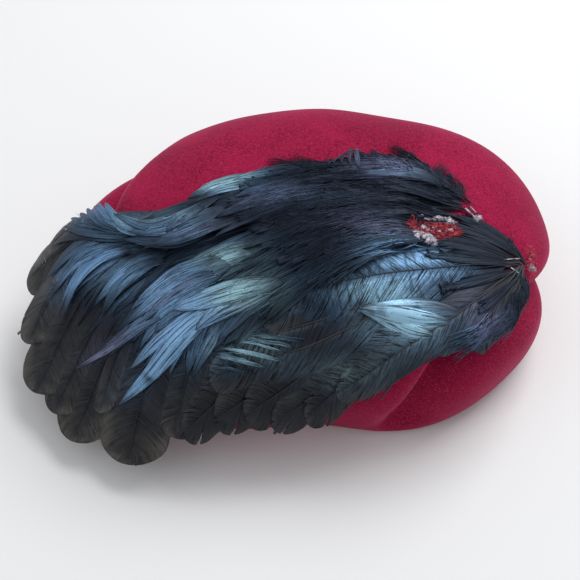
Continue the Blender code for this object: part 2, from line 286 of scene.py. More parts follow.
def add_node(tree, kind, inputs=None, **settings):
    """A node with its settings, and with its inputs set to values or linked from sockets."""
    node = tree.nodes.new(kind)
    for key, value in settings.items():
        setattr(node, key, value)
    for key, value in (inputs or {}).items():
        if isinstance(value, bpy.types.NodeSocket):
            tree.links.new(value, node.inputs[key])
        else:
            node.inputs[key].default_value = value
    return node


def new_material(name, **shader_values):
    """A material's tree and its Principled shader, with the values that are the same all over it."""
    material = bpy.data.materials.new(name)
    material.use_nodes = True
    shader = material.node_tree.nodes["Principled BSDF"]
    for key, value in shader_values.items():
        shader.inputs[key.replace("_", " ")].default_value = value
    return material, material.node_tree, shader


def noise(tree, where, scale, detail=2.0, roughness=0.5):
    inputs = {"Vector": where, "Scale": scale, "Detail": detail, "Roughness": roughness}
    return add_node(tree, "ShaderNodeTexNoise", inputs).outputs["Fac"]


def ramp(tree, factor, low, high):
    """A mask that rises smoothly from 0 at low to 1 at high."""
    inputs = {"Value": factor, "From Min": low, "From Max": high}
    return add_node(tree, "ShaderNodeMapRange", inputs, interpolation_type="SMOOTHSTEP").outputs["Result"]


def mix(tree, factor, first, second):
    """Colour blend from first to second."""
    node = add_node(tree, "ShaderNodeMix", data_type="RGBA")
    for socket, value in ((node.inputs[0], factor), (node.inputs[6], first), (node.inputs[7], second)):
        if isinstance(value, bpy.types.NodeSocket):
            tree.links.new(value, socket)
        else:
            socket.default_value = value
    return node.outputs[2]


def maths(tree, operation, first, second):
    return add_node(tree, "ShaderNodeMath", {0: first, 1: second}, operation=operation).outputs[0]


def times(tree, first, second):
    return maths(tree, "MULTIPLY", first, second)


def plus(tree, first, second):
    return maths(tree, "ADD", first, second)


felt, tree, shader = new_material("velour_felt", Sheen_Weight=0.35, Sheen_Roughness=0.40, Roughness=0.95)
shader.inputs["Sheen Tint"].default_value = FELT_SHEEN
shader.inputs["Specular IOR Level"].default_value = 0.06
where = add_node(tree, "ShaderNodeTexCoord").outputs["Object"]
clouds = ramp(tree, noise(tree, where, CLOUD_SCALE, 3.0, 0.55), 0.25, 0.75)
brushed = ramp(tree, noise(tree, where, BRUSHED_SCALE, 4.0, 0.60), 0.36, 0.66)
pile = noise(tree, where, PILE_SCALE, 3.0, 0.75)
tufts = noise(tree, where, TUFT_SCALE, 1.0, 0.5)
body = mix(tree, clouds, FELT_DEEP, FELT_LIT)
body = mix(tree, times(tree, ramp(tree, pile, 0.36, 0.60), 0.80), body, FELT_LIT)
body = mix(tree, times(tree, ramp(tree, pile, 0.46, 0.34), 0.50), body, FELT_DEEP)
body = mix(tree, times(tree, brushed, 0.42), body, FELT_DEEP)
flecks = times(tree, ramp(tree, tufts, 0.54, 0.78), 0.60)
tree.links.new(mix(tree, flecks, body, FELT_FLECK), shader.inputs["Base Color"])
relief = plus(tree, pile, times(tree, tufts, 0.6))
bump = add_node(tree, "ShaderNodeBump", {"Height": relief, "Strength": 0.35, "Distance": 0.0006})
tree.links.new(bump.outputs["Normal"], shader.inputs["Normal"])
cap.data.materials.append(felt)
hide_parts("felt_cap")
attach(cap, "root")

# Feathers
# Black coque and hackle feathers, glued by their quills in three sprays. A feather is a quill with barbs on
# both sides, and the loose barbs of hackles cling together into long pointed locks.
DRAPE_PROFILE = (
    # reach, height
    (0.000, 1.000),
    (0.300, 0.992),
    (0.580, 0.948),
    (0.800, 0.860),
    (0.940, 0.740),
    (1.050, 0.560),
    (1.180, 0.330),
    (1.300, 0.170),
    (1.420, 0.100),
    (1.600, 0.070),
)
PLAN_SIZE = np.array([CAP_HALF_LENGTH, CAP_HALF_DEPTH])
FEATHER_WIDTH = 0.030
SLOPE_STEP = 0.001
PILE_CELL = 0.002
FEATHER_SEAT = 0.0007
SEAT_ON_TOP = 0.55
LEFT_OF = np.array([[0.0, 1.0], [-1.0, 0.0]])

# Where the feathers shine: a painted sheen, put into the barbs' base colour in patches where the feathers
# catch the light. Here and in the tables of feathers, a place in plan is in hundredths of the cap's half
# length and half depth. Strength and hue are hundredths too: violet at 0, blue at 50, sea green at 100.
PAINTED_SHEEN_PATCHES = (
    # x, y, reach_x, reach_y, strength, hue
    (-38, -4, 11, 7, 120, 90),
    (-64, -28, 14, 8, 120, 80),
    (-87, -16, 11, 10, 90, 38),
    (-90, -46, 13, 10, 180, 50),
    (-74, -58, 10, 9, 95, 50),
    (-55, -72, 16, 11, 110, 48),
    (-36, -54, 14, 8, 60, 100),
    (-28, -74, 15, 10, 75, 100),
    (-50, -90, 16, 12, 105, 55),
    (-70, -104, 10, 8, 60, 55),
    (-85, -86, 11, 5, 60, 10),
    (-25, -97, 12, 6, 70, 95),
    (36, -53, 14, 9, 160, 62),
    (22, -70, 14, 7, 90, 80),
    (33, -86, 16, 9, 120, 75),
    (60, -74, 9, 10, 75, 20),
    (12, -103, 16, 5, 45, 95),
    (26, 5, 14, 8, 35, 15),
    (-50, -42, 14, 5, 40, 25),
    (-20, -18, 18, 8, 35, 30),
    (28, -38, 16, 6, 45, 12),
)
# A faint painted sheen that lies over all the feathers.
PAINTED_SHEEN_EVERYWHERE = 0.05

drape_line = through(DRAPE_PROFILE, np.linspace(0.0, 1.0, 200))


def drape_height(plan):
    """Height of the slope under the feathers: the drape's profile at the share of the cap's reach."""
    share = np.hypot(plan[..., 0], plan[..., 1]) / reach(np.arctan2(plan[..., 1], plan[..., 0]))
    return np.interp(share, drape_line[:, 0], drape_line[:, 1]) * CAP_HEIGHT


def on_drape(plan, lift):
    """Points a lift above the drape, measured square to it, and the drape's normals there."""
    step_x, step_y = np.array([SLOPE_STEP, 0.0]), np.array([0.0, SLOPE_STEP])
    slope_x = (drape_height(plan + step_x) - drape_height(plan - step_x)) / (2.0 * SLOPE_STEP)
    slope_y = (drape_height(plan + step_y) - drape_height(plan - step_y)) / (2.0 * SLOPE_STEP)
    normals = unit(np.stack([-slope_x, -slope_y, np.ones_like(slope_x)], axis=-1))
    points = np.concatenate([plan, drape_height(plan)[..., None]], axis=-1)
    return points + normals * np.asarray(lift)[..., None], normals


def painted_sheen(plan):
    """Strength and hue of the painted sheen over places in plan: bells round each patch, added up.

    The hue is the mean of the patches' hues, each weighted by its bell.
    """
    patches = np.array(PAINTED_SHEEN_PATCHES) / 100.0
    away = (plan[..., None, :] / PLAN_SIZE - patches[:, 0:2]) / patches[:, 2:4]
    bells = patches[:, 4] * np.exp(-(away**2).sum(axis=-1))
    total = bells.sum(axis=-1)
    return PAINTED_SHEEN_EVERYWHERE + total, (bells @ patches[:, 5] + 0.03) / (total + 0.1)


pile_corner = -2.0 * PLAN_SIZE
pile_top = np.full(np.ceil(-2.0 * pile_corner / PILE_CELL).astype(int), FEATHER_SEAT)


def pile_cells(plan):
    index = np.round((plan - pile_corner) / PILE_CELL).astype(int)
    return tuple(np.moveaxis(np.clip(index, 0, np.array(pile_top.shape) - 1), -1, 0))


def add_to_pile(plan, top):
    cells = pile_cells(plan)
    pile_top[cells] = np.maximum(pile_top[cells], top)


def carried(needed, sections):
    """The highest need within some sections, then its running mean: a stiff quill can't dip in between."""
    wide = np.pad(needed, 2 * sections, mode="edge")
    span, last = 2 * sections + 1, len(needed) + 2 * sections
    highest = np.max([wide[k : k + last] for k in range(span)], axis=0)
    return np.mean([highest[k : k + len(needed)] for k in range(span)], axis=0)


def seat(plan, left, half_width, sections):
    """Lift at which a band along a path rests on what is already laid under it."""
    probes = [plan + left * (half_width * share)[:, None] for share in np.linspace(-0.8, 0.8, 7)]
    tops = np.array([pile_top[pile_cells(probe)] for probe in probes])
    under = SEAT_ON_TOP * tops.max(axis=0) + (1.0 - SEAT_ON_TOP) * tops.mean(axis=0)
    return carried(under, sections)


def along_slope(plan):
    """Directions to a path's left in plan, its length on the slope so far, and how much longer a step to the
    left is on the slope than in plan.
    """
    left = unit(np.gradient(plan, axis=0)) @ LEFT_OF
    solid, _ = on_drape(plan, np.zeros(len(plan)))
    beside, _ = on_drape(plan + left * SLOPE_STEP, np.zeros(len(plan)))
    length = np.concatenate([[0.0], np.cumsum(np.linalg.norm(np.diff(solid, axis=0), axis=1))])
    return left, length, np.linalg.norm(beside - solid, axis=1) / SLOPE_STEP


def sides_of(centre, normals, along):
    """Unit directions ahead and to the side of lines on the drape: normals crossed with ahead."""
    ahead = unit(np.gradient(centre, axis=along))
    return ahead, unit(np.cross(normals, ahead))


def strips(centre, side, up, half_width, ridge=1.0):
    """Corners of three-sided strips along centres: to one side, up by a share of that, and to the other."""
    top = centre + up * half_width * ridge
    return np.stack([centre - side * half_width, top, centre + side * half_width], axis=2)


def read_at(far, length, path):
    """A path's places, or its directions, at distances along it."""
    return np.stack([np.interp(far, length, column) for column in path.T], axis=-1)


def bent(rows, s):
    """Places along feathers in plan: the parabola from root by bend to tip, in metres."""
    rows, s = np.asarray(rows, float), np.asarray(s)[..., None]
    root, bend, tip = (rows[..., k : k + 2] * PLAN_SIZE for k in (0, 2, 4))
    return (1.0 - s) ** 2 * root + 2.0 * s * (1.0 - s) * bend + s**2 * tip


class Plumage:
    """The points, faces and marks of one piece while it is being laid.

    The marks are four numbers a point: place along the feather, place across it, a tone that differs from
    lock to lock, and the strength of the painted sheen. The grain is three more: place across the streaks,
    place along them, and the hue of the painted sheen.
    """

    def __init__(self, name):
        self.name, self.points, self.marks, self.grains, self.blocks, self.total = name, [], [], [], [], 0

    def add(self, points, marks, grain, *blocks):
        self.points.append(points.reshape(-1, 3))
        self.marks.append(np.stack(np.broadcast_arrays(*marks), axis=-1).reshape(-1, 4))
        self.grains.append(np.stack(np.broadcast_arrays(*grain), axis=-1).reshape(-1, 3))
        self.blocks += [block + self.total for block in blocks]
        self.total += len(self.points[-1])

    def finish(self, material, *nodes):
        points = np.concatenate(self.points)
        points[:, :2] += crown
        piece = surface(self.name, points, *self.blocks)
        barb = piece.data.attributes.new("barb", "FLOAT_COLOR", "POINT")
        barb.data.foreach_set("color", np.concatenate(self.marks).astype(np.float32).ravel())
        grain = piece.data.attributes.new("grain", "FLOAT_VECTOR", "POINT")
        grain.data.foreach_set("vector", np.concatenate(self.grains).astype(np.float32).ravel())
        piece.data.materials.append(material)
        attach(piece, "root")
        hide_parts(*nodes)
        return piece


def tube_faces(count, steps, corners):
    """Quads and end caps of many tubes of steps rings each. Corners run clockwise seen from the root."""
    starts = steps * corners * np.arange(count)[:, None, None]
    ends = np.array([np.arange(corners), steps * corners - 1 - np.arange(corners)])
    walls = (ring_faces(steps, corners)[None] + starts).reshape(-1, 4)
    return walls, (ends[None] + starts).reshape(-1, corners)


# Sizes of a lock: thin enough to bend, ribbed by its barbs along their length, and arched across.
LOCK_OUTLINE = (
    *((0.0, 0.04), (0.08, 0.42), (0.26, 0.88), (0.46, 1.0)),
    *((0.66, 0.86), (0.82, 0.54), (0.93, 0.24), (1.0, 0.02)),
)
LOCK_STEPS = 18
LOCK_BARBS = 8
LOCK_RIB = 0.00009
LOCK_THICKNESS = 0.00025
LOCK_RISE = 0.00016
LOCK_ARCH = 0.16
LOCK_SLACK = 0.02
LOCK_STREAKS = 6.0
STREAK_RUN = 2.5
TONE_SHIFT = 40.0
HUE_SPREAD = 0.06
ROOT_RISE_SHARE = 0.18
# Where the painted shade at a lock's root ends, and where its painted sheen starts to dim towards the tip.
SHADED_ROOT_SHARE = 0.40
DARK_TIP_FROM = 0.80


def lock_rows(table):
    """Four places in plan, the width and the last number of each lock. Widths are written in millimetres."""
    for row in table:
        yield np.reshape(row[:8], (4, 2)) / 100.0, row[8] / 1000.0, row[9]


def lay_lock(plumage, places, width, rng, painted_sheen_gain=1.0, roll=0.20, rise=LOCK_RISE):
    """One pointed lock of barbs: a ribbon through places in plan, arched and ribbed across.

    Its half width follows the lock's outline. Across it, the height falls as the square of the distance from
    the middle, tilts by the roll, and zigzags from rib to groove.
    """
    t = np.linspace(0.0, 1.0, LOCK_STEPS)
    plan = through(places, t) * PLAN_SIZE
    left, length, stretch = along_slope(plan)
    outline = np.array(LOCK_OUTLINE)
    half = np.interp(t, outline[:, 0], outline[:, 1]) * width / 2.0
    lift = seat(plan, left, half / stretch, 2) + rise * (2.0 * smooth_step(t / ROOT_RISE_SHARE) - 1.0)
    v = np.linspace(-1.0, 1.0, 2 * LOCK_BARBS + 1)
    rib = LOCK_RIB * (np.arange(len(v)) % 2) + rng.normal(0.0, 0.25 * LOCK_RIB, len(v))
    tilt = roll * rng.normal() * np.sin(math.pi * np.clip(t * 1.1, 0.0, 1.0) * (0.6 + 0.4 * rng.random()))
    band = half[:, None] * v
    slack = rng.normal(0.0, LOCK_SLACK, (1, len(v))) * width * (t**2)[:, None] * (1.0 - t[:, None] * 0.4)
    across = band * np.cos(tilt)[:, None] + slack
    high = lift[:, None] - LOCK_ARCH * half[:, None] * v**2 + band * np.sin(tilt)[:, None]
    high = np.maximum(high + rib * np.minimum(half / width * 4.0, 1.0)[:, None], FEATHER_SEAT * 0.4)
    places_across = plan[:, None] + left[:, None] * (across / stretch[:, None])[..., None]
    add_to_pile(places_across[:, 1:-1], high[:, 1:-1])
    under = np.array([-3, -1 - LOCK_BARBS, 2])
    ring = np.concatenate([places_across, places_across[:, under]], axis=1)
    heights = np.concatenate([high, np.maximum(high[:, under] - LOCK_THICKNESS, FEATHER_SEAT * 0.2)], axis=1)
    points, _ = on_drape(ring, heights)
    painted_shine, hue = painted_sheen(ring)
    tone = rng.random()
    # The lock's painted sheen fades to painted shade towards its root and dims towards its tip.
    tip_fade = smooth_step((t - DARK_TIP_FROM) / (1.0 - DARK_TIP_FROM))
    middle = smooth_step(t / SHADED_ROOT_SHARE) * (1.0 - 0.55 * tip_fade)
    painted_shine = painted_shine * painted_sheen_gain * (0.40 + 0.90 * rng.random()) * (0.15 + 0.85 * middle)[:, None]
    sides = np.concatenate([v, v[under]])
    hue = np.clip(hue + rng.normal(0.0, HUE_SPREAD), 0.0, 1.0)
    marks = (t[:, None], sides[None], tone, painted_shine)
    grain = (sides[None] * LOCK_STREAKS + TONE_SHIFT * tone, STREAK_RUN * t[:, None], hue)
    plumage.add(points, marks, grain, *tube_faces(1, LOCK_STEPS, len(sides)))


STRAY_STEPS = 9
STRAY_WIDTH = 0.00016


def lay_strays(plumage, places, width, count, rng, painted_sheen_gain=1.0):
    """Single loose barbs beside a lock, as thin three-sided strips that part from it towards their tips."""
    t = np.linspace(0.0, 1.0, STRAY_STEPS)
    start = rng.uniform(0.05, 0.45, (count, 1))
    s = start + (rng.uniform(0.75, 1.06, (count, 1)) - start) * t
    plan = through(places, s) * PLAN_SIZE
    ahead = np.gradient(plan, axis=1)
    left = unit(ahead) @ LEFT_OF
    out = rng.uniform(-0.5, 0.5, (count, 1)) * width + rng.normal(0.0, 0.22, (count, 1)) * width * t**1.6
    plan = plan + left * out[..., None]
    lift = pile_top[pile_cells(plan)] + 0.0002 + 0.0010 * rng.random((count, 1)) * t**2
    centre, normals = on_drape(plan, lift)
    _, side = sides_of(centre, normals, 1)
    corners = strips(centre, side, normals, STRAY_WIDTH * (1.0 - 0.8 * t**2)[None, :, None])
    # Painted sheen of the loose barbs.
    painted_shine, hue = painted_sheen(plan)
    tone = rng.random((count, 1, 1))
    three = np.ones(3)
    marks = (s[..., None] * three, 0.0, tone, (painted_shine * painted_sheen_gain)[..., None])
    grain = (TONE_SHIFT * tone * three, STREAK_RUN * s[..., None], hue[..., None])
    plumage.add(corners, marks, grain, *tube_faces(count, STRAY_STEPS, 3))


VANE_STATIONS = 56
BARB_STEPS = 6
ROUND_FROM = 0.78
END_FROM = 0.88
LAST_BARB = 0.97
PATH_END = 1.08
FREE_FROM = 0.35
STRAY_REACH = 0.0022
STREAK_WIDTH = 0.0018


def lay_vane(plumage, row, style, rng):
    """One feather with a closed vane: a quill, and barbs that swing from it outwards and tipwards.

    Each barb ends on the feather's edge, and the last ones on a quarter of an ellipse that rounds its end.
    Runs of barbs, each a lock, are drawn a little towards one point each. The row is in hundredths.
    The style has lengths in metres for the barbs' spacing, their sweep along the quill, the loft of a lock,
    the droop of the edges, the quill's radius and the rise of the whole. The rest are shares, but for the
    least and most barbs in a lock, and the lean and tilt of a barb in degrees.
    """
    row = np.array(row) / 100.0
    s = np.linspace(0.0, PATH_END, VANE_STATIONS)
    plan = bent(row, s)
    left, length, stretch = along_slope(plan)
    whole = np.interp(1.0, s, length)
    half_width = row[6] * FEATHER_WIDTH / 2.0
    outline = np.array(style["outline"])
    free = smooth_step(length / whole / FREE_FROM)
    under = seat(plan, left, half_width / stretch, 2)
    lift = FEATHER_SEAT + (under - FEATHER_SEAT) * free + style["rise"]
    count = int(whole * (1.0 - style["bare"]) / style["spacing"])
    for side in (-1.0, 1.0):
        order = np.linspace(0.0, 1.0, count) + rng.normal(0.0, 0.15 / count, count)
        at = style["bare"] + order * (LAST_BARB - style["bare"])
        edge_at = np.interp(order, (0.0, ROUND_FROM), (style["bare"] + style["sweep"] / whole, END_FROM))
        turn = np.clip((order - ROUND_FROM) / (1.0 - ROUND_FROM), 0.0, 1.0) * math.pi / 2.0
        tip_at = edge_at + (1.0 - END_FROM) * np.sin(turn)
        tip_out = np.interp(edge_at, outline[:, 0], outline[:, 1]) * half_width * np.cos(turn)
        cuts = np.cumsum(rng.integers(*style["lock"], count))
        lock = np.searchsorted(cuts, np.arange(count), side="right")
        members = np.maximum(np.bincount(lock), 1)
        lock_at, lock_out = np.bincount(lock, tip_at) / members, np.bincount(lock, tip_out) / members
        lock_out = lock_out * (1.03 + rng.normal(0.0, style["ragged"], len(members)))
        lock_lift = rng.random(len(members)) * style["loft"]
        lock_tone = rng.random(len(members))
        t = np.linspace(0.0, 1.0, BARB_STEPS)[None]
        drawn = style["clump"] * smooth_step((t - 0.25) / 0.75)
        along = at[:, None] + (tip_at - at)[:, None] * t + (lock_at[lock] - tip_at)[:, None] * drawn
        out = tip_out[:, None] * (1.0 - (1.0 - t) ** 1.35) + (lock_out[lock] - tip_out)[:, None] * drawn
        stray = (rng.random(count) < style["stray"]) * rng.normal(0.0, STRAY_REACH, count)
        out = out + stray[:, None] * t**2
        far = along * whole
        outwards = (side * out / np.interp(far, length, stretch))[..., None]
        here = read_at(far, length, plan) + read_at(far, length, left) * outwards
        droop = style["droop"] * (out / half_width) ** 2
        height = np.interp(far, length, lift) - droop + lock_lift[lock][:, None] * t**1.5
        height = np.maximum(height, FEATHER_SEAT * 0.5)
        add_to_pile(here, height + 0.0002)
        centre, normals = on_drape(here, height)
        ahead, across = sides_of(centre, normals, 1)
        tilt = np.radians(style["lean"] + style["tilt"] * rng.normal(0.0, 1.0, len(members)))
        tilt = tilt[lock][:, None, None] * side
        across = across * np.cos(tilt) + normals * np.sin(tilt)
        width = style["spacing"] * 0.66 * (1.0 - style["taper"] * t**4) * (1.0 + 0.9 * turn[:, None] * t**2)
        corners = strips(centre, across, np.cross(ahead, across), width[..., None], style["ridge"])
        tone = (0.35 * rng.random((count, 1)) + 0.65 * lock_tone[lock][:, None])[..., None]
        # Painted sheen of the barbs, scaled by the feather's painted gloss.
        painted_shine, hue = (values[..., None] for values in painted_sheen(here))
        three = np.ones(3)
        marks = (along[..., None] * three, (side * t)[..., None], tone, painted_shine * row[7])
        streak_at = at[:, None, None] * whole / STREAK_WIDTH * three
        grain = (streak_at, 1.5 * side * t[..., None] + 5.0 * tone, hue)
        plumage.add(corners, marks, grain, *tube_faces(count, BARB_STEPS, 3))
    lay_quill(plumage, plan, length, whole, lift, style["quill"])


QUILL_STEPS = 26
QUILL_SIDES = 6
QUILL_END = 0.96
QUILL_MARK = 3.0


def quill_rings(centre, normals, radius):
    """Six corners round each place of a quill: a circle square to the way it runs."""
    _, side = sides_of(centre, normals, 0)
    turn = np.linspace(math.tau, 0.0, QUILL_SIDES, endpoint=False)[:, None]
    return centre[:, None] + radius * (np.cos(turn) * side[:, None] + np.sin(turn) * normals[:, None])


def lay_quill(plumage, plan, length, whole, lift, radius):
    """The quill: a six-sided tube along the feather's middle that tapers from root to tip."""
    far = np.linspace(0.0, QUILL_END, QUILL_STEPS) * whole
    centre, normals = on_drape(read_at(far, length, plan), np.interp(far, length, lift) + 0.0003)
    rings = quill_rings(centre, normals, (radius * (1.0 - 0.85 * far / whole))[:, None, None])
    share = (far / whole)[:, None] * np.ones(QUILL_SIDES)
    marks = (share, QUILL_MARK, 0.5, 0.0)
    plumage.add(rings, marks, (share, 0.0, 0.0), *tube_faces(1, QUILL_STEPS, QUILL_SIDES))


# The feathers' finish: black barbs with a glossy, iridescent skin. Its blue, sea green or violet is a painted
# sheen in the base colour, in streaks along each barb and in the patches where the feathers catch the light,
# and is made metallic where it is painted. The barbs turn brown-grey where the tail feathers thin out towards
# their tips.
BARB_BLACK = (0.0065, 0.0075, 0.012, 1.0)
BARB_BROWN = (0.112, 0.102, 0.088, 1.0)
PAINTED_SHINE_VIOLET = (0.275, 0.285, 0.480, 1.0)
PAINTED_SHINE_BLUE = (0.225, 0.415, 0.670, 1.0)
PAINTED_SHINE_GREEN = (0.360, 0.600, 0.680, 1.0)
QUILL_GREY = (0.045, 0.046, 0.050, 1.0)
GRAIN_SCALE = 1300.0
GLOSS_CLOUD_SCALE = 70.0
BARS_ALONG = 60.0

barb_colour_and_painted_sheen = bpy.data.node_groups.new("barb_colour_and_painted_sheen", "ShaderNodeTree")
for way, socket, kind in (
    ("INPUT", "Brown tips", "NodeSocketFloat"),
    ("INPUT", "Bars", "NodeSocketFloat"),
    ("OUTPUT", "Colour", "NodeSocketColor"),
    ("OUTPUT", "Metal", "NodeSocketFloat"),
    ("OUTPUT", "Height", "NodeSocketFloat"),
):
    barb_colour_and_painted_sheen.interface.new_socket(socket, in_out=way, socket_type=kind)
tree = barb_colour_and_painted_sheen
given = add_node(tree, "NodeGroupInput").outputs
marks = add_node(tree, "ShaderNodeAttribute", attribute_name="barb")
split = add_node(tree, "ShaderNodeSeparateColor", {"Color": marks.outputs["Color"]})
along, sideways, tone = split.outputs["Red"], split.outputs["Green"], split.outputs["Blue"]
painted_gloss = marks.outputs["Alpha"]
lie = add_node(tree, "ShaderNodeAttribute", attribute_name="grain").outputs["Vector"]
lie = add_node(tree, "ShaderNodeSeparateXYZ", {"Vector": lie}).outputs
hue = lie["Z"]
where = add_node(tree, "ShaderNodeTexCoord").outputs["Object"]
streak_place = add_node(tree, "ShaderNodeCombineXYZ", {"X": lie["X"], "Y": lie["Y"]}).outputs[0]
streaks = noise(tree, streak_place, 1.0, 3.0, 0.65)
grain = noise(tree, where, GRAIN_SCALE, 2.0, 0.6)
cloud = noise(tree, where, GLOSS_CLOUD_SCALE, 2.0, 0.6)
# Painted sheen: how strongly the base colour is lit, from the marks, in streaks and soft clouds.
painted_lit = times(tree, painted_gloss, ramp(tree, streaks, 0.33, 0.60))
painted_lit = times(tree, painted_lit, ramp(tree, cloud, 0.10, 0.52))
painted_lit = times(tree, painted_lit, plus(tree, 0.30, times(tree, grain, 1.35)))
bar_place = {"X": times(tree, along, BARS_ALONG), "Y": times(tree, sideways, 1.5)}
bar_place = add_node(tree, "ShaderNodeCombineXYZ", bar_place).outputs[0]
bars = ramp(tree, noise(tree, bar_place, 1.0, 2.0, 0.6), 0.46, 0.38)
bars = maths(tree, "SUBTRACT", 1.0, times(tree, given["Bars"], bars))
painted_lit = add_node(tree, "ShaderNodeClamp", {"Value": times(tree, painted_lit, bars)}).outputs[0]
# Colour of the painted sheen, from violet through blue to sea green.
painted_shine = mix(tree, ramp(tree, hue, 0.10, 0.50), PAINTED_SHINE_VIOLET, PAINTED_SHINE_BLUE)
painted_shine = mix(tree, ramp(tree, hue, 0.50, 0.95), painted_shine, PAINTED_SHINE_GREEN)
browned = times(tree, given["Brown tips"], ramp(tree, along, 0.55, 0.92))
browned = times(tree, browned, ramp(tree, plus(tree, streaks, cloud), 0.65, 1.35))
thin = ramp(tree, maths(tree, "ABSOLUTE", sideways, 0.0), 0.15, 0.95)
browned = times(tree, browned, plus(tree, 0.25, times(tree, thin, 0.75)))
dark = mix(tree, browned, BARB_BLACK, BARB_BROWN)
quill = ramp(tree, sideways, 1.8, 2.2)
colour = mix(tree, quill, mix(tree, painted_lit, dark, painted_shine), QUILL_GREY)
height = plus(tree, streaks, times(tree, grain, 0.3))
metal = times(tree, painted_lit, 0.75)
add_node(tree, "NodeGroupOutput", {"Colour": colour, "Metal": metal, "Height": height})


def feather_material(name, brown_tips, bars, tint):
    material, tree, shader = new_material(name, Roughness=0.42)
    shader.inputs["Specular IOR Level"].default_value = 0.22
    shader.inputs["Specular Tint"].default_value = tint
    finish = add_node(tree, "ShaderNodeGroup", node_tree=barb_colour_and_painted_sheen)
    finish.inputs["Brown tips"].default_value = brown_tips
    finish.inputs["Bars"].default_value = bars
    tree.links.new(finish.outputs["Colour"], shader.inputs["Base Color"])
    tree.links.new(finish.outputs["Metal"], shader.inputs["Metallic"])
    relief = {"Height": finish.outputs["Height"], "Strength": 0.4, "Distance": 0.0003}
    bump = add_node(tree, "ShaderNodeBump", relief)
    tree.links.new(bump.outputs["Normal"], shader.inputs["Normal"])
    return material


PLAIN_TINT = (1.0, 1.0, 0.97, 1.0)
BLUE_TINT = (0.50, 0.68, 1.0, 1.0)
tail_barbs = feather_material("tail_barbs", 1.0, 0.0, PLAIN_TINT)
coque_barbs = feather_material("coque_barbs", 0.4, 0.0, PLAIN_TINT)
hackle_barbs = feather_material("hackle_barbs", 0.0, 0.0, BLUE_TINT)
barred_barbs = feather_material("barred_barbs", 0.0, 0.55, BLUE_TINT)

# Tail spray
# The lowest feathers are broad coque feathers with round tips. They fan out past the left and front edges of
# the cap and droop there, where their black thins to a brown grey.
ROUND_OUTLINE = ((0.0, 0.30), (0.20, 0.72), (0.45, 0.96), (0.60, 1.0), (0.88, 1.0))
TAIL_STYLE = {
    "outline": ROUND_OUTLINE, "spacing": 0.0006, "sweep": 0.022, "bare": 0.10, "lock": (14, 40),
    "clump": 0.03, "ragged": 0.012, "loft": 0.0002, "stray": 0.01, "droop": 0.0020, "quill": 0.0003,
    "rise": 0.0004, "taper": 0.0, "lean": 4.0, "tilt": 0.7, "ridge": 0.35,
}
TAIL_FEATHERS = (
    # root_x, root_y, bend_x, bend_y, tip_x, tip_y, width, painted_gloss
    (-12, -58, -30, -90, -42, -118, 90, 40),
    (-20, -54, -44, -84, -54, -125, 80, 30),
    (-24, -54, -74, -60, -95, -119, 100, 20),
    (-26, -46, -80, -52, -103, -104, 85, 25),
    (-30, -40, -90, -40, -111, -92, 115, 30),
    (-34, -34, -97, -24, -116, -66, 100, 35),
    (-36, -36, -94, -28, -120, -26, 90, 40),
    (-36, -40, -80, -36, -109, -14, 75, 45),
    (-36, -46, -80, -42, -106, -38, 60, 80),
    (-20, -54, -62, -72, -72, -133, 115, 15),
    (-26, -52, -74, -66, -83, -110, 55, 20),
)
rng = np.random.default_rng(11)
tail = Plumage("tail_feathers")
for row in TAIL_FEATHERS:
    lay_vane(tail, row, TAIL_STYLE, rng)
tail.finish(tail_barbs, "tail_spray")

# Coque spray
# Broad coque feathers, glued by their quills at the right end of the cap. They fan out over its front, with
# closed glossy vanes.
COQUE_STYLE = {
    "outline": ROUND_OUTLINE, "spacing": 0.0008, "sweep": 0.026, "bare": 0.05, "lock": (12, 34),
    "clump": 0.18, "ragged": 0.11, "loft": 0.0008, "stray": 0.04, "droop": 0.0012, "quill": 0.0005,
    "rise": 0.0005, "taper": 0.40, "lean": 8.0, "tilt": 3.0, "ridge": 0.6,
}
COQUE_FEATHERS = (
    # root_x, root_y, bend_x, bend_y, tip_x, tip_y, width, painted_gloss
    (20, -70, -16, -100, -50, -124, 80, 25),
    (30, -66, -4, -102, -38, -120, 90, 25),
    (40, -66, 4, -100, -27, -118, 95, 25),
    (60, -60, 16, -102, -17, -119, 75, 30),
    (62, -58, 30, -94, -4, -116, 75, 40),
    (40, -72, 4, -94, -40, -107, 80, 55),
    (46, -66, 10, -80, -30, -96, 95, 45),
    (79, -41, 79, -58, 69, -74, 50, 60),
    (79, -41, 72, -66, 57, -88, 60, 80),
    (78, -42, 66, -72, 42, -94, 50, 60),
    (60, -50, 20, -66, -22, -84, 95, 40),
    (74, -44, 44, -54, 2, -56, 80, 30),
    (78, -42, 60, -70, 40, -82, 45, 35),
)
# Short loose feathers that cover the quills' roots.
ROOT_STYLE = {
    "outline": ((0.0, 0.35), (0.20, 0.90), (0.45, 1.0), (0.70, 0.60), (0.88, 0.20)), "spacing": 0.0009,
    "sweep": 0.034, "bare": 0.02, "lock": (3, 10), "clump": 0.80, "ragged": 0.20, "loft": 0.0006,
    "stray": 0.12, "droop": 0.0006, "quill": 0.0003, "rise": 0.0002, "taper": 0.75, "lean": 8.0,
    "tilt": 9.0, "ridge": 0.8,
}
ROOT_FEATHERS = (
    # root_x, root_y, bend_x, bend_y, tip_x, tip_y, width, painted_gloss
    (81, -40, 76, -24, 50, -18, 45, 10),
    (81, -40, 72, -28, 44, -24, 45, 10),
    (80, -41, 66, -36, 36, -38, 50, 15),
    (80, -41, 66, -45, 40, -48, 40, 15),
    (80, -42, 68, -54, 46, -66, 35, 25),
    (80, -42, 74, -56, 60, -74, 35, 25),
)
